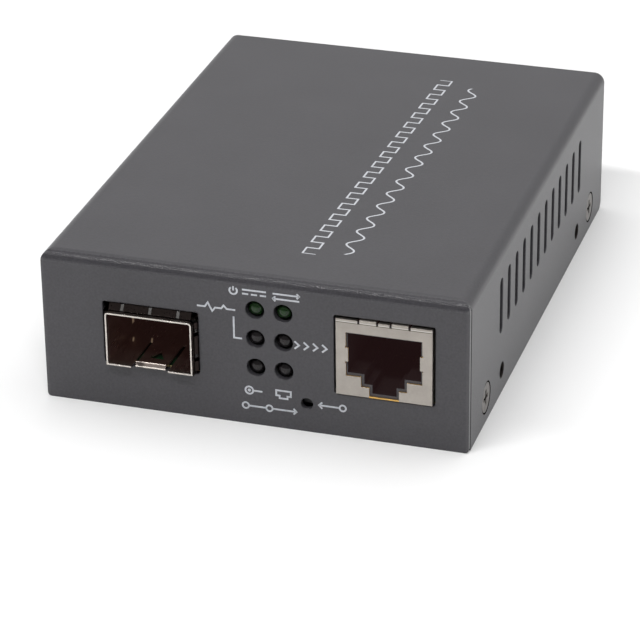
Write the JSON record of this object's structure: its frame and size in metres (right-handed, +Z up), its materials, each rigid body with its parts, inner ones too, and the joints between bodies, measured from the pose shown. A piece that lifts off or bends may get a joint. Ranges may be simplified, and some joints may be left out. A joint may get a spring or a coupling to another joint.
{
  "type": "fibre media converter",
  "caption": "Small folded steel box that joins a pluggable optical module slot to a network socket, with indicator lamps, a recessed test button and a power jack.",
  "frame": {"origin": "centre of the case's footprint, on the underside of the tray that it stands on", "axes": "+Z up; -Y is out of the front panel with the module slot and network socket, +Y out of the rear panel with the power jack; +X is to the right seen from the front"},
  "size_m": [0.07, 0.0954, 0.026],
  "materials": {
    "case_paint": "dark grey powder coat with a fine texture",
    "screw_black": "black oxide, satin",
    "plated_steel": "zinc plate, satin",
    "board_green": "solder mask over glass laminate",
    "tinned_steel": "tin plate, bright satin",
    "spring_steel": "bright nickel plate",
    "black_moulding": "black glass-filled moulding, satin",
    "gilt_contact": "thin gold over nickel",
    "black_holder": "black nylon, matte",
    "lamp_green": "green tinted clear resin, unlit",
    "lamp_smoke": "smoke tinted clear resin, unlit",
    "chip_black": "moulded epoxy, matte",
    "can_metal": "drawn can, satin",
    "capacitor_sleeve": "shrunk sleeve, glossy",
    "chip_ceramic": "fired ceramic, matte"
  },
  "bodies": {
    "case": {"cover": "case_paint", "base_tray": "case_paint", "cover_screws": "screw_black", "board_standoffs": "plated_steel", "board_screws": "plated_steel", "circuit_board": "board_green", "sfp_cage_hood": "tinned_steel", "sfp_cage_floor": "tinned_steel", "sfp_spring_collar": "spring_steel", "sfp_host_socket": "black_moulding", "sfp_host_contacts": "gilt_contact", "rj45_shield": "tinned_steel", "rj45_housing": "black_moulding", "rj45_wire_comb": "black_moulding", "rj45_contacts": "gilt_contact", "lamp_holder_left": "black_holder", "lamp_holder_right": "black_holder", "lamp_power": "lamp_green", "lamp_duplex": "lamp_green", "lamp_status": "lamp_smoke", "lamp_speed": "lamp_smoke", "lamp_fibre": "lamp_smoke", "lamp_copper": "lamp_smoke", "lamp_leads": "plated_steel", "diag_switch_body": "black_moulding", "diag_switch_dome": "spring_steel", "diag_switch_frame": "tinned_steel", "dc_jack_body": "black_moulding", "dc_jack_pin": "spring_steel", "dc_jack_spring": "spring_steel", "dc_jack_switch_leaf": "spring_steel", "converter_chip": "chip_black", "memory_chip": "chip_black", "isolation_transformer": "chip_black", "crystal": "can_metal", "voltage_regulator": "chip_black", "power_inductor": "chip_black", "input_capacitor": "capacitor_sleeve", "output_capacitor": "capacitor_sleeve", "chip_passives": "chip_ceramic"},
    "button": {"diag_button": "black_moulding"}
  },
  "joints": [
    {"name": "diag_press", "type": "slide", "parent": "case", "child": "button", "axis": [0, 1, 0], "range_m": [0, 0.0003], "stiffness_N_per_m": 1500, "springref_m": -0.0001, "deforming": ["diag_switch_dome"]}
  ]
}
